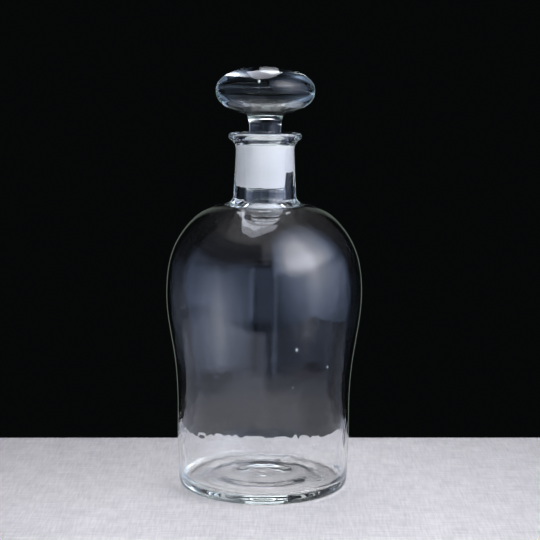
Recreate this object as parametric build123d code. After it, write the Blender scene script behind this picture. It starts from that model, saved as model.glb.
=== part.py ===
"""A blown-glass decanter with a ground-glass stopper.

Two pieces of glass. The bottle is one blown piece: a kicked-up foot, a straight lower wall, a
waist that swells to a domed shoulder, a thick neck bored to a 1 in 10 taper, and a rolled lip.
The stopper is one solid piece: a flattened knob, a short stem and a ground plug in that taper.

The frame is in millimetres with Z up. The origin is the centre of the foot, on the table.
"""
from build123d import *
import math
import os

# Bottle, outer wall
BELLY_RADIUS = 55.0  # widest part of the shoulder
BELLY_HEIGHT = 110.5
LOWER_RADIUS = 48.7  # the straight wall below the waist
HEEL_RADIUS = 48.1  # where the rounded heel meets the wall
HEEL_HEIGHT = 5.2
CROWN_RADIUS = 22.0  # where the dome meets the sweep up into the neck
CROWN_HEIGHT = 161.2
CROWN_SLOPE = 15.0  # degrees below level

# Wall thickness
WALL_AT_HEEL = 2.7
WALL_AT_BELLY = 1.9
WALL_AT_CROWN = 3.0
WALL_STEPS = 13  # stations where the thickness is set out
CORNER_SHARE = 0.025  # how far up the wall the inner corner begins

# Foot, kick and floor
FOOT_OUTER_RADIUS = 43.8
FOOT_INNER_RADIUS = 33.0
KICK_HEIGHT = 2.0
PONTIL_RADIUS = 8.0  # shallow polished dish where the rod was broken off
PONTIL_DEPTH = 0.15
FLOOR_THICKNESS = 4.5
FLOOR_RISE = 2.65  # how much higher the floor is in the middle
CORNER_RADIUS = 5.0  # inside, between wall and floor

# Neck
NECK_ROOT_RADIUS = 17.5
NECK_ROOT_HEIGHT = 165.5
NECK_TOP_RADIUS = 16.25
NECK_TOP_HEIGHT = 190.5

# Lip
LIP_RADIUS = 20.4
LIP_TOP = 200.6
LIP_ROLL = 2.15  # radius of the rolled edge
LIP_UNDERCUT = 60.0  # degrees round the roll before it sweeps down into the neck
MOUTH_RADIUS = 15.4  # where the lip's flat top turns down into the bore
MOUTH_LAND = 1.4  # clear height between the ground face and the turned mouth

# Ground joint: the radius falls 1 in 20, so the diameter falls 1 in 10
JOINT_TOP = 195.2
JOINT_LENGTH = 25.2
JOINT_BOTTOM = JOINT_TOP - JOINT_LENGTH
JOINT_TOP_RADIUS = 12.0
JOINT_SLOPE = 1 / 20
JOINT_BOTTOM_RADIUS = JOINT_TOP_RADIUS - JOINT_LENGTH * JOINT_SLOPE
JOINT_GAP = 0.05  # radial room between the two ground faces

# Bore below the joint
BORE_RADIUS = 11.15
BORE_BOTTOM = 166.2
THROAT_RADIUS = 19.5  # where the bore has opened out into the dome
THROAT_HEIGHT = 159.2

# Stopper plug and stem
PLUG_BOTTOM = 155.4
PLUG_EDGE = 1.8  # rounding of the plug's lower edge
TAIL_TOP_RADIUS = 10.45  # the plug below its ground face
TAIL_BOTTOM_RADIUS = 10.2
PLUG_SHOULDER = 3.6  # height of the round shoulder between plug and stem
STEM_RADIUS = 8.8
STEM_TOP = 202.5
FLARE_RADIUS = 10.2  # where the stem runs into the knob
FLARE_HEIGHT = 210.4

# Stopper knob
KNOB_RADIUS = 27.55
KNOB_MIDDLE = 223.9  # height of its widest part
KNOB_TOP = 237.2
UPPER_FULLNESS = 0.60  # 0.55 would make the upper half an ellipse, more makes it squarer
KNOB_UNDERSLOPE = 17.0  # degrees the underside rises away from the stem
LOWER_ROUND = 8.8  # how far below its widest part the side stays steep

UP = Vector(0, 0, 1)
DOWN = Vector(0, 0, -1)
OUT = Vector(1, 0, 0)
IN = Vector(-1, 0, 0)


def at(radius, height):
    """A point of a half outline, which is drawn in the XZ plane and turned about Z."""
    return Vector(radius, 0, height)


def sloping(direction, degrees):
    """A level direction tipped up by an angle."""
    tip = math.radians(degrees)
    return direction * math.cos(tip) + UP * math.sin(tip)


def turned(edges):
    """The solid that a closed half outline sweeps about the Z axis."""
    return revolve(make_face(Wire(edges)), Axis.Z, 360)


def outer_wall():
    """The outside of the blown wall, from the heel up to the crown."""
    stations = [
        at(HEEL_RADIUS, HEEL_HEIGHT),
        at(LOWER_RADIUS, 22),
        at(LOWER_RADIUS + 0.1, 45),
        at(49.25, 60),
        at(50.75, 75),
        at(53.2, 90),
        at(BELLY_RADIUS, BELLY_HEIGHT - 5.5),
        at(BELLY_RADIUS, BELLY_HEIGHT + 5.5),
        at(53.5, 128),
        at(50.2, 138),
        at(44.7, 147),
        at(38.1, 154),
        at(30.5, 158.6),
        at(CROWN_RADIUS, CROWN_HEIGHT),
    ]
    return Spline(stations, tangents=[UP, sloping(IN, CROWN_SLOPE)])


def wall_thickness(share):
    """Thickness at a share of the way from heel to crown: thickest at the ends."""
    if share < 0.5:
        extra = WALL_AT_HEEL - WALL_AT_BELLY
    else:
        extra = WALL_AT_CROWN - WALL_AT_BELLY
    return WALL_AT_BELLY + extra * math.cos(math.pi * share) ** 4


def inner_wall(outer):
    """The inside of the blown wall, from the throat down to the corner above the floor."""
    points = [at(THROAT_RADIUS, THROAT_HEIGHT)]
    for i in range(1, WALL_STEPS + 1):
        share = 1 - (1 - CORNER_SHARE) * i / WALL_STEPS
        along = outer % share
        inward = Vector(-along.Z, 0, along.X)
        points.append(outer @ share + inward * wall_thickness(share))
    return Spline(points)


def foot():
    """The underside: the pontil dish, the kick, the flat ring it stands on, and the heel."""
    dish_centre = at(0, KICK_HEIGHT - PONTIL_DEPTH)
    dish_edge = at(PONTIL_RADIUS, KICK_HEIGHT)
    kick_points = [
        dish_edge,
        at(19, KICK_HEIGHT - 0.7),
        at(26.5, KICK_HEIGHT * 0.45),
        at(FOOT_INNER_RADIUS, 0),
    ]
    return [
        Spline([dish_centre, dish_edge], tangents=[OUT, sloping(OUT, 8)]),
        Spline(kick_points, tangents=[OUT, OUT]),
        Line(at(FOOT_INNER_RADIUS, 0), at(FOOT_OUTER_RADIUS, 0)),
        Spline(
            [at(FOOT_OUTER_RADIUS, 0), at(HEEL_RADIUS, HEEL_HEIGHT)],
            tangents=[OUT, UP],
        ),
    ]


def neck_and_lip():
    """The outside of the neck, the rolled lip and its flat top, from the crown inwards."""
    roll_centre = at(LIP_RADIUS - LIP_ROLL, LIP_TOP - LIP_ROLL)
    roll_start = roll_centre + sloping(OUT, -LIP_UNDERCUT) * LIP_ROLL
    roll_end = roll_centre + UP * LIP_ROLL
    root = at(NECK_ROOT_RADIUS, NECK_ROOT_HEIGHT)
    top = at(NECK_TOP_RADIUS, NECK_TOP_HEIGHT)
    along_neck = top - root
    return [
        Spline(
            [at(CROWN_RADIUS, CROWN_HEIGHT), root],
            tangents=[sloping(IN, CROWN_SLOPE), along_neck.normalized()],
        ),
        Line(root, top),
        Spline(
            [top, roll_start],
            tangents=[along_neck.normalized(), sloping(OUT, 90 - LIP_UNDERCUT)],
        ),
        ThreePointArc(roll_start, roll_centre + OUT * LIP_ROLL, roll_end),
        Line(roll_end, at(MOUTH_RADIUS, LIP_TOP)),
    ]


def bore(into_dome):
    """The inside of the neck: the mouth, the ground taper, the plain bore and the throat."""
    into_joint = Vector(-JOINT_SLOPE, 0, -1).normalized()
    joint_top = at(JOINT_TOP_RADIUS, JOINT_TOP)
    joint_bottom = at(JOINT_BOTTOM_RADIUS, JOINT_BOTTOM)
    land_top = at(JOINT_TOP_RADIUS + 0.35, JOINT_TOP + MOUTH_LAND)
    bore_top = at(BORE_RADIUS, JOINT_BOTTOM - 1.2)
    bore_bottom = at(BORE_RADIUS, BORE_BOTTOM)
    return [
        Spline([at(MOUTH_RADIUS, LIP_TOP), land_top, joint_top], tangents=[IN, into_joint]),
        Line(joint_top, joint_bottom),
        Line(joint_bottom, bore_top),
        Line(bore_top, bore_bottom),
        Spline(
            [bore_bottom, at(THROAT_RADIUS, THROAT_HEIGHT)],
            tangents=[DOWN, into_dome],
        ),
    ]


def floor(wall_end, down_wall):
    """The inside of the bottom: the round corner, the floor and its rise over the kick."""
    corner_end = at(wall_end.X - CORNER_RADIUS, FLOOR_THICKNESS)
    floor_points = [
        corner_end,
        at(34, FLOOR_THICKNESS + 0.5),
        at(28, FLOOR_THICKNESS + 1.9),
        at(14, FLOOR_THICKNESS + 2.6),
        at(0, FLOOR_THICKNESS + FLOOR_RISE),
    ]
    return [
        Spline([wall_end, corner_end], tangents=[down_wall, IN]),
        Spline(floor_points, tangents=[IN, IN]),
    ]


def bottle():
    """The blown bottle, turned from its half outline."""
    outer = outer_wall()
    inner = inner_wall(outer)
    bottom = floor(inner @ 1, inner % 1)
    under = foot()
    middle = Line(bottom[-1] @ 1, under[0] @ 0)
    return turned([*under, outer, *neck_and_lip(), *bore(inner % 0), inner, *bottom, middle])


def plug_and_stem():
    """The stopper's outline from the middle of the plug's end up to the knob."""
    up_joint = Vector(JOINT_SLOPE, 0, 1).normalized()
    edge_end = at(TAIL_BOTTOM_RADIUS, PLUG_BOTTOM + PLUG_EDGE)
    face_bottom = at(JOINT_BOTTOM_RADIUS - JOINT_GAP, JOINT_BOTTOM)
    face_top = at(JOINT_TOP_RADIUS - JOINT_GAP, JOINT_TOP)
    tail_top = at(TAIL_TOP_RADIUS, JOINT_BOTTOM - 0.8)
    stem_bottom = at(STEM_RADIUS, JOINT_TOP + PLUG_SHOULDER)
    stem_top = at(STEM_RADIUS, STEM_TOP)
    flat_edge = at(TAIL_BOTTOM_RADIUS - PLUG_EDGE, PLUG_BOTTOM)
    return [
        Line(at(0, PLUG_BOTTOM), flat_edge),
        Spline([flat_edge, edge_end], tangents=[OUT, UP]),
        Line(edge_end, tail_top),
        Line(tail_top, face_bottom),
        Line(face_bottom, face_top),
        Spline([face_top, stem_bottom], tangents=[up_joint, UP], tangent_scalars=[0.8, 1.4]),
        Line(stem_bottom, stem_top),
        Spline([stem_top, at(FLARE_RADIUS, FLARE_HEIGHT)], tangents=[UP, sloping(OUT, 65)]),
    ]


def knob():
    """The stopper's outline from the top of the stem round the knob to the axis."""
    stem = at(FLARE_RADIUS, FLARE_HEIGHT)
    below = stem + sloping(OUT, KNOB_UNDERSLOPE) * (KNOB_RADIUS - FLARE_RADIUS) / 2
    rim = at(KNOB_RADIUS, KNOB_MIDDLE)
    below_rim = rim + DOWN * LOWER_ROUND
    above_rim = rim + UP * (KNOB_TOP - KNOB_MIDDLE) * UPPER_FULLNESS
    near_pole = at(KNOB_RADIUS * UPPER_FULLNESS, KNOB_TOP)
    return [
        Bezier(stem, below, below_rim, rim),
        Bezier(rim, above_rim, near_pole, at(0, KNOB_TOP)),
    ]


def stopper():
    """The solid stopper, turned from its half outline."""
    middle = Line(at(0, KNOB_TOP), at(0, PLUG_BOTTOM))
    return turned([*plug_and_stem(), *knob(), middle])


os.makedirs("parts", exist_ok=True)
export_step(bottle(), "parts/bottle.step")
export_step(stopper(), "parts/stopper.step")
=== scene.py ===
"""Looks for the stoppered decanter: clear blown glass on white cloth in a dark studio.

The two CAD nodes are turned solids. Each is replaced by a finer turned mesh built on the node's own
half section, with the slight waviness, the ground joint and the seeds that the real glass has.
Lengths are in metres. Azimuth 0 is the side that faces the camera, and + is to the camera's right.
"""
import math

import bpy
import mathutils
import numpy as np
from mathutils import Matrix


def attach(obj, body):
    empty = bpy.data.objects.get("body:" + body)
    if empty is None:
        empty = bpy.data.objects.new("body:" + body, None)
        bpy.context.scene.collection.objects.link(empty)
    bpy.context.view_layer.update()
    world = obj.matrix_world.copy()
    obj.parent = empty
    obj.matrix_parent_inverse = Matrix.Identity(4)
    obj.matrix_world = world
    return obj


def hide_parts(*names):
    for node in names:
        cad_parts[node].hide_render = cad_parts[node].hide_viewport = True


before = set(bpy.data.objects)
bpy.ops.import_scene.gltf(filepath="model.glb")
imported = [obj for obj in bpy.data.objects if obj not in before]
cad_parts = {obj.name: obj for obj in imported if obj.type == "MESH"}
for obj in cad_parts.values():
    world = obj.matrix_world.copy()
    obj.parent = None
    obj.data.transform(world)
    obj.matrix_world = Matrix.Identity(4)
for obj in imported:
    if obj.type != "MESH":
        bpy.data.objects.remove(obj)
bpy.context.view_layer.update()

MM = 0.001
SEGMENTS = 256  # round each turned piece
ON_SEAM = 1e-6  # a vertex this near to the half plane y = 0 lies on it


# ---------------------------------------------------------------- half section of a turned node

PLACE_DECIMALS = 8  # vertices that agree to these are one
FINE_STEP = 0.08 * MM  # between the spline's points that a line is sampled again from
FEWEST_STEPS = 6


def islands(count, edges):
    """Number of the connected part that each vertex belongs to."""
    label = np.arange(count)
    while True:
        lower = np.minimum(label[edges[:, 0]], label[edges[:, 1]])
        new = label.copy()
        np.minimum.at(new, edges[:, 0], lower)
        np.minimum.at(new, edges[:, 1], lower)
        new = new[new]
        if (new == label).all():
            return label
        label = new


def walk(points, links):
    """Points of one open line, in order, from the pairs of neighbours in links."""
    near = {}
    for a, b in links:
        near.setdefault(a, set()).add(b)
        near.setdefault(b, set()).add(a)
    here = min(k for k in near if len(near[k]) == 1)
    line = [here]
    before = None
    while True:
        onward = [k for k in near[here] if k != before]
        if not onward:
            return points[line]
        before, here = here, onward[0]
        line.append(here)


def seam_lines(node):
    """The node's edges in the half plane x >= 0, y = 0, as one (radius, height) line per CAD face."""
    mesh = node.data
    places = np.empty(len(mesh.vertices) * 3)
    mesh.vertices.foreach_get("co", places)
    places = places.reshape(-1, 3)
    edges = np.empty(len(mesh.edges) * 2, dtype=int)
    mesh.edges.foreach_get("vertices", edges)
    edges = edges.reshape(-1, 2)
    face_of = islands(len(places), edges)
    on_seam = (abs(places[:, 1]) < ON_SEAM) & (places[:, 0] > -ON_SEAM)
    edges = edges[on_seam[edges].all(axis=1)]
    lines = []
    for face in np.unique(face_of[edges[:, 0]]):
        own = edges[face_of[edges[:, 0]] == face]
        spots = np.round(places[own][:, :, (0, 2)].reshape(-1, 2), PLACE_DECIMALS)
        points, index = np.unique(spots, axis=0, return_inverse=True)
        links = np.unique(np.sort(index.reshape(-1, 2), axis=1), axis=0)
        links = [(a, b) for a, b in links.tolist() if a != b]
        lines.append(walk(points, links))
    return lines


def in_order(lines, start):
    """The lines end to end, each turned the right way, beginning at the end nearest to start."""
    rest = list(lines)
    tip = np.array(start)
    ordered = []
    while rest:
        gaps = [min(np.hypot(*(line[0] - tip)), np.hypot(*(line[-1] - tip))) for line in rest]
        line = rest.pop(int(np.argmin(gaps)))
        if np.hypot(*(line[-1] - tip)) < np.hypot(*(line[0] - tip)):
            line = line[::-1]
        ordered.append(line)
        tip = line[-1]
    return ordered


def bending(lengths, points):
    """Second derivatives of the cubic spline through points, with not-a-knot ends."""
    count = len(points)
    if count < 4:
        return np.zeros_like(points)
    system = np.zeros((count, count))
    right = np.zeros_like(points)
    slopes = np.diff(points, axis=0) / lengths[:, None]
    for k in range(1, count - 1):
        system[k, k - 1] = lengths[k - 1]
        system[k, k] = 2 * (lengths[k - 1] + lengths[k])
        system[k, k + 1] = lengths[k]
        right[k] = 6 * (slopes[k] - slopes[k - 1])
    system[0, :3] = (lengths[1], -lengths[0] - lengths[1], lengths[0])
    system[-1, -3:] = (lengths[-1], -lengths[-1] - lengths[-2], lengths[-2])
    return np.linalg.solve(system, right)


def resampled(line, longest, turn):
    """The line again in new steps, none longer than longest or with more than turn radians of bend."""
    lengths = np.hypot(*np.diff(line, axis=0).T)
    second = bending(lengths, line)
    fine = []
    fine_bend = []
    for k, length in enumerate(lengths):
        steps = max(FEWEST_STEPS, int(length / FINE_STEP))
        part = np.arange(steps)[:, None] / steps
        one = 1 - part
        bulge = (one ** 3 - one) * second[k] + (part ** 3 - part) * second[k + 1]
        fine.append(one * line[k] + part * line[k + 1] + bulge * length ** 2 / 6)
        fine_bend.append(np.hypot(*(one * second[k] + part * second[k + 1]).T))
    fine = np.vstack(fine + [line[-1:]])
    fine_bend = np.concatenate(fine_bend)
    step = np.hypot(*np.diff(fine, axis=0).T)
    weight = np.concatenate([[0], np.cumsum(step * np.maximum(1 / longest, fine_bend / turn))])
    count = max(2, int(math.ceil(weight[-1])) + 1)
    even = np.linspace(0, weight[-1], count)
    return np.column_stack([np.interp(even, weight, fine[:, axis]) for axis in (0, 1)])


def half_section(node, start, longest, turn):
    """The node's whole half section as (radius, height) rows, from the axis back to the axis."""
    lines = [resampled(line, longest, turn) for line in in_order(seam_lines(node), start)]
    section = np.vstack([lines[0]] + [line[1:] for line in lines[1:]])
    if section[0, 0] > ON_SEAM:
        section = np.vstack([[0, section[0, 1]], section])
    if section[-1, 0] > ON_SEAM:
        section = np.vstack([section, [0, section[-1, 1]]])
    return section


def crossings(section, height):
    """Radii at which the section crosses a height, smallest first."""
    z = section[:, 1] - height
    cut = np.where(z[:-1] * z[1:] < 0)[0]
    part = z[cut] / (z[cut] - z[cut + 1])
    return np.sort(section[cut, 0] + part * (section[cut + 1, 0] - section[cut, 0]))


# ---------------------------------------------------------------- turned meshes

CLEAR_SLOT = 0
MATT_SLOT = 1
WAVES = 90  # plane waves that add up to one waviness
SEED_AROUND = 14
SEED_LEVELS = 8


def outward(section):
    """Unit normals of the section that point away from the glass, for a section that runs
    clockwise in the (radius, height) plane around the glass."""
    ahead = np.gradient(section, axis=0)
    normal = np.column_stack([-ahead[:, 1], ahead[:, 0]])
    return normal / np.hypot(*normal.T)[:, None]


def waviness(places, random_seed, shortest, longest, height):
    """Smooth random heights at the places: plane waves of many lengths, all equally steep."""
    rng = np.random.default_rng(random_seed)
    lengths = shortest * (longest / shortest) ** rng.random(WAVES)
    ways = rng.normal(size=(WAVES, 3))
    ways = ways / np.linalg.norm(ways, axis=1)[:, None] / lengths[:, None]
    phases = rng.random(WAVES) * math.tau
    field = np.cos(places @ ways.T * math.tau + phases)
    return field @ (lengths / longest) * height * math.sqrt(2 / WAVES)


class Shape:
    """Vertices and faces of one piece while it is put together."""

    def __init__(self):
        self.places = []
        self.faces = []
        self.slots = []
        self.count = 0

    def add(self, places, faces, slots):
        """Adds a closed surface, with the material slot of each of its faces."""
        self.places.append(places)
        self.faces += [tuple(corner + self.count for corner in face) for face in faces]
        self.slots += slots
        self.count += len(places)

    def piece(self, name, materials):
        """The smooth-shaded object of everything added so far."""
        mesh = bpy.data.meshes.new(name)
        mesh.from_pydata(np.vstack(self.places).tolist(), [], self.faces)
        mesh.polygons.foreach_set("material_index", self.slots)
        mesh.polygons.foreach_set("use_smooth", [True] * len(self.faces))
        for material in materials:
            mesh.materials.append(material)
        mesh.validate()
        mesh.update()
        thing = bpy.data.objects.new(name, mesh)
        bpy.context.scene.collection.objects.link(thing)
        return thing


def turned(section, frosted, move, slide):
    """Places, faces and slots of the closed surface swept by the section around the axis.

    The faces between a ring of frosted and the ring after it are matt. move(places, rings) gives how
    far each place is pushed along its normal, and slide(grid, angles) gives new (radius, height) rows
    for every ring and angle."""
    rings = section[1:-1]
    angles = np.arange(SEGMENTS) * math.tau / SEGMENTS
    way = np.column_stack([np.cos(angles), np.sin(angles)])
    grid = slide(np.repeat(rings[:, None, :], SEGMENTS, axis=1), angles)
    normals = np.repeat(outward(section)[1:-1, None, :], SEGMENTS, axis=1)
    places = np.dstack([grid[:, :, 0] * way[:, 0], grid[:, :, 0] * way[:, 1], grid[:, :, 1]])
    push = np.dstack([normals[:, :, 0] * way[:, 0], normals[:, :, 0] * way[:, 1], normals[:, :, 1]])
    flat = places.reshape(-1, 3)
    flat = flat + push.reshape(-1, 3) * move(flat, np.repeat(rings, SEGMENTS, axis=0))[:, None]
    last = len(flat)
    flat = np.vstack([flat, [[0, 0, section[0, 1]], [0, 0, section[-1, 1]]]])
    faces = []
    slots = []
    for ring in range(len(rings) - 1):
        low = ring * SEGMENTS
        high = low + SEGMENTS
        for k in range(SEGMENTS):
            ahead = (k + 1) % SEGMENTS
            faces.append((low + k, high + k, high + ahead, low + ahead))
            slots.append(MATT_SLOT if ring in frosted else CLEAR_SLOT)
    base = (len(rings) - 1) * SEGMENTS
    for k in range(SEGMENTS):
        ahead = (k + 1) % SEGMENTS
        faces.append((last, k, ahead))
        faces.append((last + 1, base + ahead, base + k))
        slots += [CLEAR_SLOT, CLEAR_SLOT]
    return flat, faces, slots


def seed(middle, sizes, turn):
    """A small egg-shaped void with a matt skin, which is painted highlight: its white scatter stands
    in for a bubble's glints. Its faces look inward, so the glass is outside it.
    sizes are its half widths deep, across and tall, and turn is the angle of its deep axis."""
    places = [(0, 0, 1)]
    for level in range(1, SEED_LEVELS):
        tilt = math.pi * level / SEED_LEVELS
        for k in range(SEED_AROUND):
            angle = math.tau * k / SEED_AROUND
            wide = math.sin(tilt)
            places.append((wide * math.cos(angle), wide * math.sin(angle), math.cos(tilt)))
    places.append((0, 0, -1))
    places = np.array(places) * np.array(sizes)
    cos = math.cos(turn)
    sin = math.sin(turn)
    places = places @ np.array([[cos, sin, 0], [-sin, cos, 0], [0, 0, 1]]) + np.array(middle)
    faces = []
    last = len(places) - 1
    for k in range(SEED_AROUND):
        ahead = (k + 1) % SEED_AROUND
        faces.append((0, 1 + ahead, 1 + k))
        faces.append((last, last - SEED_AROUND + k, last - SEED_AROUND + ahead))
        for level in range(SEED_LEVELS - 2):
            low = 1 + level * SEED_AROUND
            high = low + SEED_AROUND
            faces.append((low + k, low + ahead, high + ahead, high + k))
    # Painted highlight: the matt white skin gives the bright dots that a bubble's glints would give
    return places, faces, [MATT_SLOT] * len(faces)


# ---------------------------------------------------------------- materials

class Look:
    """A node material while it is put together."""

    def __init__(self, name):
        self.material = bpy.data.materials.new(name)
        self.material.use_nodes = True
        self.material.node_tree.nodes.clear()
        self.out = self.node("OutputMaterial")

    def feed(self, socket, value):
        """Gives an input a value, or links it to another node's output."""
        if isinstance(value, bpy.types.NodeSocket):
            self.material.node_tree.links.new(value, socket)
        else:
            socket.default_value = value

    def node(self, kind, inputs=None, **settings):
        """A new node with its settings, and with its inputs as values or outputs of other nodes."""
        made = self.material.node_tree.nodes.new("ShaderNode" + kind)
        for name, value in settings.items():
            setattr(made, name, value)
        for name, value in (inputs or {}).items():
            self.feed(made.inputs[name], value)
        return made

    def split(self, vector):
        """The X, Y and Z outputs of a vector."""
        return self.node("SeparateXYZ", {0: vector}).outputs

    def reckon(self, operation, *values, clamp=True):
        """Output of a math node. Unless clamp is off it is kept between 0 and 1."""
        inputs = dict(enumerate(values))
        return self.node("Math", inputs, operation=operation, use_clamp=clamp).outputs[0]

    def past(self, value, edge, steepness):
        """0 below the edge, then rising to 1 at this rate."""
        return self.reckon("MULTIPLY_ADD", value, steepness, -edge * steepness)

    def mixed(self, factor, first, second, blend="MIX"):
        """Two colours mixed by a factor."""
        inputs = {"Factor": factor, "A": first, "B": second}
        return self.node("Mix", inputs, data_type="RGBA", blend_type=blend).outputs["Result"]


GLASS_INDEX = 1.5
GLASS_COLOUR = (0.0, 0.72, 0.20, 1)  # what it absorbs least
GLASS_DENSITY = 1.2

# Linen: its threads, its brightness, and the painted light and shade of how the brightness falls off
TABLE_FAR = 0.106  # y of the table's back edge
THREAD_SCALE = 900
THREAD_STRETCH = 0.08  # how much slower a thread changes along itself than across
BLOTCH_SCALE = 60
BLOTCH_SHARE = 0.5
WEAVE_LOW = 0.9
WEAVE_HIGH = 1.6
LINEN_DARK = 0.47
LINEN_LIGHT = 0.65
LINEN_TINT = (1.07, 1.0, 0.925)
# Painted light in front and painted shade toward the back edge and the ends
FRONT_PAINTED_LIGHT = 1.28  # brightness as far in front of the bottle as the back edge is behind it
BACK_PAINTED_SHADE = 0.97  # brightness at the back edge
END_PAINTED_SHADE = 4.5  # share lost toward either end, for each metre squared from the middle

# Painted shade: the cloth is darkened where all rays but the camera's direct ones see it, so the glass
# mirrors a darker table
EDGE_STEEPNESS = 60  # how fast these parts come in, per metre
CLEAR_OF_FOOT = 0.07
STEEP_RAY = 0.34  # upward share of a ray's way back
STEEP_STEEPNESS = 16
FAR_RIGHT = 0.145
FAR_RIGHT_SHARE = 0.75
AWAY_FROM_FOOT = 0.125
PAINTED_DARK_SHADE = (0.20, 0.20, 0.21, 1)
PAINTED_AWAY_SHADE = (0.66, 0.71, 0.82, 1)

# Light
DIM_GLOW = 0.5
BRIGHT_GLOW = 3.5
MATT_TINT = (0.77, 0.85, 1.0, 1)  # of the room's light where cloth or ground glass scatters it


def glass(name, colour, roughness, through):
    """Soda-lime glass, with the faint green it takes on where it is looked at edge on. Its skin lets
    a share of the light through and scatters the rest."""
    look = Look(name)
    skin = look.node("BsdfPrincipled", {
        "Base Color": colour,
        "Roughness": roughness,
        "IOR": GLASS_INDEX,
        "Transmission Weight": through,
    })
    body = look.node("VolumeAbsorption", {"Color": GLASS_COLOUR, "Density": GLASS_DENSITY})
    look.feed(look.out.inputs["Surface"], skin.outputs[0])
    look.feed(look.out.inputs["Volume"], body.outputs[0])
    return look.material


def painted_shade_factors(look, place):
    """Two factors of painted shade, both 0 where the camera sees the cloth directly: one for the parts
    that the glass shows dark, and one for all that is well away from the foot."""
    x = look.split(place)["X"]
    reach = look.node("VectorMath", {0: place}, operation="LENGTH").outputs["Value"]
    slope = look.split(look.node("NewGeometry").outputs["Incoming"])["Z"]
    right = look.past(x, 0.0, EDGE_STEEPNESS)
    steep = look.past(slope, STEEP_RAY, STEEP_STEEPNESS)
    dark = look.reckon("MULTIPLY", right, steep)
    dark = look.reckon("MULTIPLY", dark, look.past(reach, CLEAR_OF_FOOT, EDGE_STEEPNESS))
    far_right = look.reckon("MULTIPLY", look.past(x, FAR_RIGHT, EDGE_STEEPNESS), FAR_RIGHT_SHARE)
    dark = look.reckon("MAXIMUM", dark, far_right)
    away = look.past(reach, AWAY_FROM_FOOT, EDGE_STEEPNESS)
    indirect = look.reckon("SUBTRACT", 1.0, look.node("LightPath").outputs["Is Camera Ray"])
    return look.reckon("MULTIPLY", dark, indirect), look.reckon("MULTIPLY", away, indirect)


def painted_light_falloff(look, place):
    """Painted light and shade: how the cloth's colour lightens toward its front and greys toward its
    back edge and its two ends, as the light falls off.
    """
    parts = look.split(place)
    back = look.node("MapRange", {
        "Value": parts["Y"],
        "From Min": -TABLE_FAR,
        "From Max": TABLE_FAR,
        "To Min": FRONT_PAINTED_LIGHT,
        "To Max": BACK_PAINTED_SHADE,
    })
    square = look.reckon("MULTIPLY", parts["X"], parts["X"])
    ends = look.reckon("MULTIPLY_ADD", square, -END_PAINTED_SHADE, 1.0)
    return look.reckon("MULTIPLY", back.outputs[0], ends, clamp=False)


def weave(look, place):
    """Height of the linen: uneven crossed threads over soft blotches."""
    threads = []
    for stretch in ((1, THREAD_STRETCH, 1), (THREAD_STRETCH, 1, 1)):
        drawn = look.node("Mapping", {"Vector": place, "Scale": stretch})
        noise = look.node("TexNoise", {"Vector": drawn.outputs[0], "Scale": THREAD_SCALE, "Detail": 3})
        threads.append(noise.outputs["Fac"])
    both = look.reckon("ADD", *threads, clamp=False)
    blotch = look.node("TexNoise", {"Vector": place, "Scale": BLOTCH_SCALE, "Detail": 4})
    return look.reckon("MULTIPLY_ADD", blotch.outputs["Fac"], BLOTCH_SHARE, both, clamp=False)


def linen():
    """White table linen, in colour and in relief."""
    look = Look("table_linen")
    place = look.node("TexCoord").outputs["Object"]
    height = weave(look, place)
    shade = look.node("MapRange", {
        "Value": height,
        "From Min": WEAVE_LOW,
        "From Max": WEAVE_HIGH,
        "To Min": LINEN_DARK,
        "To Max": LINEN_LIGHT,
    })
    colour = LINEN_TINT
    # The weave's tone, then the painted light and shade of the falloff
    for share in (shade.outputs[0], painted_light_falloff(look, place)):
        colour = look.node("VectorMath", {0: colour, "Scale": share}, operation="SCALE").outputs[0]
    # Painted shade: the cloth's colour is darkened where the glass mirrors it, not where the camera
    # sees it
    for factor, painted_shade_colour in zip(painted_shade_factors(look, place), (PAINTED_DARK_SHADE, PAINTED_AWAY_SHADE)):
        colour = look.mixed(factor, colour, painted_shade_colour, "MULTIPLY")
    relief = look.node("Bump", {"Height": height, "Strength": 0.5, "Distance": 0.4 * MM})
    skin = look.node("BsdfPrincipled", {
        "Base Color": colour,
        "Roughness": 0.9,
        "Specular IOR Level": 0.15,
        "Normal": relief.outputs[0],
    })
    look.feed(look.out.inputs["Surface"], skin.outputs[0])
    return look.material


def glowing(name, tints, sampled, lifted=False):
    """Light whose brightness is stored at the vertices as "glow", with a tint for where it is dim and
    one for where it is bright. If lifted, what cloth and ground glass scatter of it is brighter by the
    stored "lift" and has a tint of its own."""
    look = Look(name)
    strength = look.node("Attribute", attribute_name="glow").outputs["Fac"]
    bright = look.node("MapRange", {"Value": strength, "From Min": DIM_GLOW, "From Max": BRIGHT_GLOW})
    colour = look.mixed(bright.outputs[0], *tints)
    if lifted:
        scattered = look.reckon("MULTIPLY", look.node("LightPath").outputs["Diffuse Depth"], 1.0)
        lift = look.node("Attribute", attribute_name="lift").outputs["Fac"]
        gain = look.reckon("MULTIPLY_ADD", scattered, lift, 1.0, clamp=False)
        strength = look.reckon("MULTIPLY", strength, gain, clamp=False)
        colour = look.mixed(scattered, colour, MATT_TINT)
    light = look.node("Emission", {"Color": colour, "Strength": strength})
    look.feed(look.out.inputs["Surface"], light.outputs[0])
    look.material.cycles.emission_sampling = "FRONT_BACK" if sampled else "NONE"
    return look.material


# ---------------------------------------------------------------- the decanter

clear = glass("clear_glass", colour=(1, 1, 1, 1), roughness=0.0, through=1.0)
ground = glass("ground_glass", colour=(1.0, 0.965, 0.95, 1), roughness=0.8, through=0.12)

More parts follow.
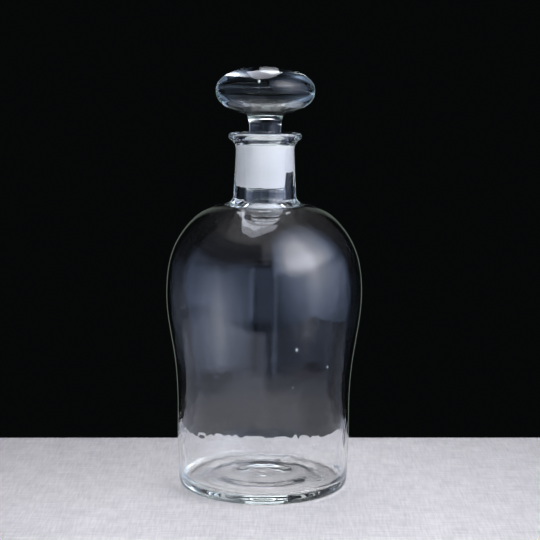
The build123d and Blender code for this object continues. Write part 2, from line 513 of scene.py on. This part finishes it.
# Ground taper
GROUND_LOW = 170.0 * MM
GROUND_HIGH = 195.2 * MM
GROUND_REACH = 13 * MM  # wider than the taper, narrower than the neck around it
GROUND_SLACK = 0.05 * MM
EDGE_RING = 2  # the taper's ring, counted up, that follows the frosting's lower edge
SAME_SHARE = 1e-9
FROST_WAVES = ((3, 0.25, 0.5), (7, 0.15, 2), (17, 0.1, 0))  # how many round it, height in mm, phase
FROST_GAP = 0.3  # mm, what the frosting's lower edge keeps at least
NOTCH_LEFT = 59  # azimuths in degrees of the patch that the grinding missed
NOTCH_RIGHT = 104
NOTCH_BLUR = 0.7
NOTCH_HEIGHT = 8.2  # mm

# Bottle
BOTTLE_START = (0, 7.2 * MM)  # on top of the floor, in its middle
BOTTLE_STEPS = (1.7 * MM, math.radians(9))  # longest step, and most bend in one step
RIPPLES = (11, 2.8 * MM, 7 * MM, 0.022 * MM)  # random seed, shortest and longest wave, height
SLOW_WAVES = (12, 18 * MM, 60 * MM, 0.05 * MM)
GRAIN_SEED = 13
GRAIN_HEIGHT = 0.020 * MM
RIPPLE_TOP = 160 * MM  # the ripples die down to the least share on the way up to here
RIPPLE_RUN = 35 * MM
LEAST_RIPPLES = 0.15
OUTSIDE_RIPPLES = 0.2
NECK_RADIUS = 20 * MM  # no waves at all inside this radius
SHOULDER_RUN = 15 * MM
FOOT_RUN = 12 * MM

WALL_SEEDS = (
    # azimuth in degrees, then height, half width and half height in millimetres
    (20, 87.3, 0.70, 1.10),
    (44, 75.4, 0.48, 0.75),
    (-55, 92.0, 0.20, 0.25),
    (9, 151.0, 0.18, 0.18),
    (52, 109.0, 0.18, 0.2),
    (19, 66.0, 0.15, 0.3),
)
SEED_DEPTH = 0.6  # of a wall seed, against its width

# Stopper
STOPPER_START = (0, 237.2 * MM)  # on top of the knob, in its middle
STOPPER_STEPS = (1.0 * MM, math.radians(4))
KNOB_WAVES = (21, 10 * MM, 30 * MM, 0.05 * MM)
KNOB_WAVE_LOW = 203 * MM
KNOB_WAVE_RUN = 6 * MM
KNOB_LEAN = -0.055  # rise for each length toward the back
KNOB_LEAN_LOW = 206 * MM
KNOB_LEAN_RUN = 4 * MM

KNOB_SEEDS = (
    # x, y, z and half width in millimetres
    (-3.1, -20.0, 227.2, 0.70),
    (-0.6, -8.0, 233.5, 0.20),
    (-1.4, -16.0, 216.8, 0.20),
)


def ground_rings(section):
    """First and last ring of the ground taper, end rings included."""
    above = section[:, 1] > GROUND_LOW - GROUND_SLACK
    below = section[:, 1] < GROUND_HIGH + GROUND_SLACK
    rows = np.where(above & below & (section[:, 0] < GROUND_REACH))[0] - 1
    return rows.min(), rows.max()


def frosting_edge(angles):
    """Height of the frosting's lower edge above the taper's lower end, by angle: a slightly uneven
    edge, and one taller patch on the right that the grinding missed."""
    edge = sum(height * np.sin(count * angles + phase) for count, height, phase in FROST_WAVES)
    edge = FROST_GAP + np.abs(edge)
    azimuth = np.degrees(angles) - 270
    azimuth = (azimuth + 180) % 360 - 180
    notch = 1 / (1 + np.exp(-(azimuth - NOTCH_LEFT) / NOTCH_BLUR))
    notch = notch / (1 + np.exp((azimuth - NOTCH_RIGHT) / NOTCH_BLUR))
    return (edge + NOTCH_HEIGHT * notch) * MM


def frost_slide(first, last):
    """Moves the rings of the taper so that one of them follows the frosting's lower edge."""
    def slide(grid, angles):
        grid = grid.copy()
        cone = grid[first:last + 1]
        bottom = cone[np.argmin(cone[:, 0, 1]), 0]
        top = cone[np.argmax(cone[:, 0, 1]), 0]
        share = (cone[:, 0, 1] - bottom[1]) / (top[1] - bottom[1])
        edge_share = share[np.argsort(share)[EDGE_RING]]
        target = frosting_edge(angles) / (top[1] - bottom[1])
        below = share[:, None] / edge_share * target
        above = target + (share[:, None] - edge_share) / (1 - edge_share) * (1 - target)
        new = np.where(share[:, None] <= edge_share + SAME_SHARE, below, above)
        grid[first:last + 1] = bottom + new[:, :, None] * (top - bottom)
        return grid
    return slide


def frosted_turning(section, move):
    """Places, faces and slots of a turned piece that has a ground taper."""
    first, last = ground_rings(section)
    upward = section[last + 1, 1] > section[first + 1, 1]
    frosted = range(first + EDGE_RING, last) if upward else range(first, last - EDGE_RING)
    return turned(section, frosted, move, frost_slide(first, last))


def finished(shape, name, node_name):
    """Puts the shape in the place of its CAD node."""
    piece = shape.piece(name, (clear, ground))
    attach(piece, node_name)
    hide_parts(node_name)


def wall_waves(places, rings):
    """How far the bottle's places are pushed out: the blown wall ripples, most of all on its inside,
    while the neck and the foot keep their shape."""
    radius, height = rings.T
    wall = np.clip((radius - NECK_RADIUS) / SHOULDER_RUN, 0, 1) * np.clip(height / FOOT_RUN, 0, 1)
    fine = waviness(places, *RIPPLES)
    fine = fine + np.random.default_rng(GRAIN_SEED).normal(size=len(places)) * GRAIN_HEIGHT
    fine = fine * np.clip((RIPPLE_TOP - height) / RIPPLE_RUN, LEAST_RIPPLES, 1)
    outside = np.arange(len(places)) >= len(places) // 2  # the section's halves meet on the lip
    fine = np.where(outside, OUTSIDE_RIPPLES * fine, fine)
    return wall * fine + wall * waviness(places, *SLOW_WAVES)


def make_bottle():
    """The blown bottle, with seeds in its wall."""
    section = half_section(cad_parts["bottle"], BOTTLE_START, *BOTTLE_STEPS)
    shape = Shape()
    shape.add(*frosted_turning(section, wall_waves))
    for azimuth, height, across, tall in WALL_SEEDS:
        inner, outer = crossings(section, height * MM)[-2:]
        middle = (inner + outer) / 2
        angle = math.radians(azimuth - 90)
        place = (middle * math.cos(angle), middle * math.sin(angle), height * MM)
        sizes = (across * SEED_DEPTH * MM, across * MM, tall * MM)
        shape.add(*seed(place, sizes, angle))
    finished(shape, "decanter_bottle", "bottle")


def knob_waves(places, rings):
    """How far the stopper's places are pushed out: only the knob is uneven."""
    knob = np.clip((rings[:, 1] - KNOB_WAVE_LOW) / KNOB_WAVE_RUN, 0, 1)
    return knob * waviness(places, *KNOB_WAVES)


def make_stopper():
    """The solid stopper, with its slightly leaning knob and the seeds in it."""
    section = half_section(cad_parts["stopper"], STOPPER_START, *STOPPER_STEPS)
    places, faces, slots = frosted_turning(section, knob_waves)
    leaning = np.clip((places[:, 2] - KNOB_LEAN_LOW) / KNOB_LEAN_RUN, 0, 1)
    places[:, 2] += KNOB_LEAN * places[:, 1] * leaning
    shape = Shape()
    shape.add(places, faces, slots)
    for x, y, z, half in KNOB_SEEDS:
        place = (x * MM, y * MM, (z + KNOB_LEAN * y) * MM)
        shape.add(*seed(place, (half * MM, half * MM, half * MM), 0))
    finished(shape, "decanter_stopper", "stopper")


make_bottle()
make_stopper()


# ---------------------------------------------------------------- stage

studio = bpy.data.objects.new("studio", None)
bpy.context.scene.collection.objects.link(studio)


def store(mesh, name, values):
    """Keeps a number at each vertex for the material to read."""
    mesh.attributes.new(name, "FLOAT", "POINT").data.foreach_set("value", values)


def staged(name, places, faces, look, glow=None):
    """A stage object that turns with the studio."""
    mesh = bpy.data.meshes.new(name)
    mesh.from_pydata(places, [], faces)
    mesh.materials.append(look)
    mesh.polygons.foreach_set("use_smooth", [True] * len(faces))
    if glow is not None:
        store(mesh, "glow", glow)
    mesh.update()
    thing = bpy.data.objects.new(name, mesh)
    bpy.context.scene.collection.objects.link(thing)
    thing.parent = studio
    return thing


def sheet(rows, columns):
    """Quads of a grid of rows by columns points."""
    quads = []
    for row in range(rows - 1):
        for low in range(row * columns, (row + 1) * columns - 1):
            high = low + columns
            quads.append((low, low + 1, high + 1, high))
    return quads


# ---------------------------------------------------------------- table

TABLE_LEFT = -0.60
TABLE_RIGHT = 0.36
TABLE_NEAR = -0.27
TABLE_SKEW = 1.6  # degrees
TABLE_ROWS = 14
TABLE_COLUMNS = 26
CLOTH_GAP = 0.2 * MM  # under the foot, so that the two never share a plane
CLOTH_TURN = 4 * MM  # radius of the cloth over the table's edges
CLOTH_DROP = 0.25
TURN_STEP = 15  # degrees


def over_the_edges(low, high, steps):
    """(place, drop) pairs of a flat run from low to high that turns down at each end."""
    ends = []
    for side, edge in ((-1, low), (1, high)):
        run = []
        for degrees in range(0, 91, TURN_STEP):
            angle = math.radians(degrees)
            place = edge - side * CLOTH_TURN + side * CLOTH_TURN * math.sin(angle)
            run.append((place, CLOTH_TURN * math.cos(angle) - CLOTH_TURN))
        run.append((edge, -CLOTH_DROP))
        ends.append(run)
    flat = [(place, 0.0) for place in np.linspace(low + CLOTH_TURN, high - CLOTH_TURN, steps)[1:-1]]
    return ends[0][::-1] + flat + ends[1]


def make_table():
    """A small table under white cloth, seen from its front: the cloth turns down over every edge."""
    skew = math.tan(math.radians(TABLE_SKEW))
    rows = over_the_edges(TABLE_NEAR, TABLE_FAR, TABLE_ROWS)
    columns = over_the_edges(TABLE_LEFT, TABLE_RIGHT, TABLE_COLUMNS)
    places = [(x, y + skew * x, min(a, b) - CLOTH_GAP) for y, a in rows for x, b in columns]
    staged("table_cloth", places, sheet(len(rows), len(columns)), linen())


# ---------------------------------------------------------------- light

# Every curve below is (azimuth or elevation in degrees, share or brightness) pairs
GLOW_CENTRE = 0.12  # height of the middle of the round lights
SKY_TINTS = ((0.50, 0.64, 1.0, 1), (0.86, 0.89, 1.0, 1))  # where it is dim, where it is bright
RIM_TINTS = ((0.84, 1.0, 0.88, 1), (0.84, 1.0, 0.88, 1))

# Window
WINDOW_REACH = 1.6
WINDOW_AZIMUTHS = np.arange(10, 122, 3)
WINDOW_ELEVATIONS = np.concatenate([np.arange(-24, 12, 4), np.arange(12, 76, 2)])
ABOVE_ACROSS = (
    (10, 0), (14, 1.2), (25, 3.0), (37, 5.3), (49, 6.1),
    (62, 7.0), (76, 3.9), (95, 2.2), (112, 0.6), (120, 0),
)
ABOVE_UP = ((18, 0.55), (24, 0.95), (32, 1), (42, 0.77), (52, 0.62), (62, 0.38), (74, 0))
BELOW_ACROSS = (
    (10, 0), (25, 0.8), (37, 1.2), (49, 1.6), (62, 2.4),
    (76, 1.8), (95, 1.1), (112, 0.6), (120, 0),
)
BELOW_UP = ((-24, 0), (-18, 0.4), (-10, 0.7), (0, 1.0), (6, 1.15), (12, 1.3))
SILL = ((13, 0), (19, 1))

# Room
ROOM_REACH = 1.9
ROOM_AZIMUTHS = np.arange(-116, 118, 2)
ROOM_ELEVATIONS = np.arange(-20, 91, 3)
ROOM_ACROSS = ((0, 1), (100, 1), (115, 0))
ROOM_UP = ((-20, 0), (-15, 1), (25, 1), (29, 0))
ROOM_GLOW = 0.28
CEILING_GLOW = 0.03
STRIP_GLOW = 0.7
STRIP_AZIMUTH = -14.5
STRIP_WIDTH = 3
FILL = 1.9  # how much more of the room's light cloth and ground glass get
LEFT_FILL = 0.8  # and up to this much more still from its left

# Rims: the upright lights beyond the table
RIM_REACH = 2.1
RIMS = (("right_behind", np.arange(154, 173)), ("left_behind", np.arange(188, 207)))
RIM_ELEVATIONS = np.arange(-30, 37, 6)
RIM_GLOW = 0.22
RIM_ACROSS = ((8, 0), (10, 1), (16, 1), (23, 0))  # degrees from straight behind
RIM_UP = ((-30, 0), (-24, 1), (16, 1), (32, 0))

# Panel overhead
PANEL_RISE = 1.2  # above PANEL_BASE
PANEL_BASE = 0.15
PANEL_GLOW = 4.0
PANEL_OUTLINE = (
    # x and y for each metre of rise
    (-0.28, 1.1),
    (-0.28, 0.45),
    (-0.33, 0.02),
    (-0.165, -0.235),
    (0.12, 0.0),
    (0.20, 0.35),
    (0.25, 1.1),
)


def along(curve, place):
    """Height at a place of a curve of (place, height) pairs, level beyond its ends."""
    places, heights = zip(*curve)
    return np.interp(place, places, heights)


def make_glow(name, radius, azimuths, elevations, brightness, look):
    """Part of a sphere around the decanter that shines inward: brightness(azimuth, elevation)."""
    places = []
    glow = []
    for elevation in elevations:
        for azimuth in azimuths:
            a = math.radians(azimuth)
            e = math.radians(elevation)
            places.append((
                radius * math.cos(e) * math.sin(a),
                -radius * math.cos(e) * math.cos(a),
                GLOW_CENTRE + radius * math.sin(e),
            ))
            glow.append(float(brightness(azimuth, elevation)))
    return staged(name, places, sheet(len(elevations), len(azimuths)), look, glow)


def window(azimuth, elevation):
    """The big window to the right of the camera: bright above its sill, dimmer below it."""
    above = along(ABOVE_ACROSS, azimuth) * along(ABOVE_UP, elevation)
    below = along(BELOW_ACROSS, azimuth) * along(BELOW_UP, elevation)
    share = along(SILL, elevation)
    return above * share + below * (1 - share)


def room(azimuth, elevation):
    """The dim room behind the camera, with a pale upright strip just left of the lens."""
    side = along(ROOM_ACROSS, abs(azimuth))
    strip = STRIP_GLOW * math.exp(-((azimuth - STRIP_AZIMUTH) / STRIP_WIDTH) ** 2)
    return (ROOM_GLOW * side + strip) * along(ROOM_UP, elevation) + CEILING_GLOW * side


def behind(azimuth, elevation):
    """Narrow upright lights beyond the table, out of the picture on both sides."""
    return RIM_GLOW * along(RIM_UP, elevation) * along(RIM_ACROSS, abs(azimuth - 180))


def make_overhead():
    """A long panel above the table that reaches back from over the stopper."""
    places = [(x * PANEL_RISE, y * PANEL_RISE, PANEL_BASE + PANEL_RISE) for x, y in PANEL_OUTLINE]
    look = glowing("overhead_light", SKY_TINTS, sampled=True)
    staged("overhead", places, [tuple(range(len(places)))], look, [PANEL_GLOW] * len(places))


def make_window():
    """The window, which is the main light."""
    look = glowing("window_light", SKY_TINTS, sampled=True)
    make_glow("window", WINDOW_REACH, WINDOW_AZIMUTHS, WINDOW_ELEVATIONS, window, look)


def make_room():
    """The room, of which cloth and ground glass get more light, most of all from the left."""
    look = glowing("room_light", SKY_TINTS, sampled=False, lifted=True)
    walls = make_glow("room", ROOM_REACH, ROOM_AZIMUTHS, ROOM_ELEVATIONS, room, look)
    leftward = [min(1.0, max(0.0, -vertex.co.x)) for vertex in walls.data.vertices]
    store(walls.data, "lift", [FILL + LEFT_FILL * side for side in leftward])


def make_rims():
    """The upright lights beyond the table, which only mirrored rays see."""
    for name, azimuths in RIMS:
        look = glowing(name + "_light", RIM_TINTS, sampled=False)
        rim = make_glow(name, RIM_REACH, azimuths, RIM_ELEVATIONS, behind, look)
        rim.visible_camera = False
        rim.visible_transmission = False
        rim.visible_diffuse = False


make_table()
make_overhead()
make_window()
make_room()
make_rims()


# ---------------------------------------------------------------- camera, surround and settings

CAMERA_PLACE = (0.0032, -0.892, 0.2558)
CAMERA_DOWN = 8.45  # degrees
CAMERA_ROLL = 0.4  # degrees
SURROUND = (0.0020, 0.0023, 0.0024, 1)

lens = bpy.data.cameras.new("camera")
lens.lens = 106.67
lens.sensor_width = 36
lens.clip_start = 0.02
camera = bpy.data.objects.new("camera", lens)
bpy.context.scene.collection.objects.link(camera)
camera.location = CAMERA_PLACE
tipped = mathutils.Matrix.Rotation(math.radians(90 - CAMERA_DOWN), 3, "X")
rolled = mathutils.Matrix.Rotation(math.radians(CAMERA_ROLL), 3, "Z")
camera.rotation_euler = (tipped @ rolled).to_euler()
bpy.context.scene.camera = camera

# The table and the lights turn with the camera, so every side is seen in the same light
follow = studio.constraints.new("COPY_ROTATION")
follow.target = camera
follow.use_x = False
follow.use_y = False

scene = bpy.context.scene
world = bpy.data.worlds.new("dark_room")
world.use_nodes = True
world.node_tree.nodes["Background"].inputs["Color"].default_value = SURROUND
world.node_tree.nodes["Background"].inputs["Strength"].default_value = 1.0
scene.world = world
scene.view_settings.view_transform = "Standard"
scene.cycles.max_bounces = 32
scene.cycles.transmission_bounces = 32
scene.cycles.glossy_bounces = 24
scene.cycles.diffuse_bounces = 8
scene.cycles.transparent_max_bounces = 32
scene.cycles.blur_glossy = 0.0
scene.cycles.sample_clamp_indirect = 20
scene.cycles.use_denoising = True
scene.cycles.denoising_input_passes = "RGB_ALBEDO"
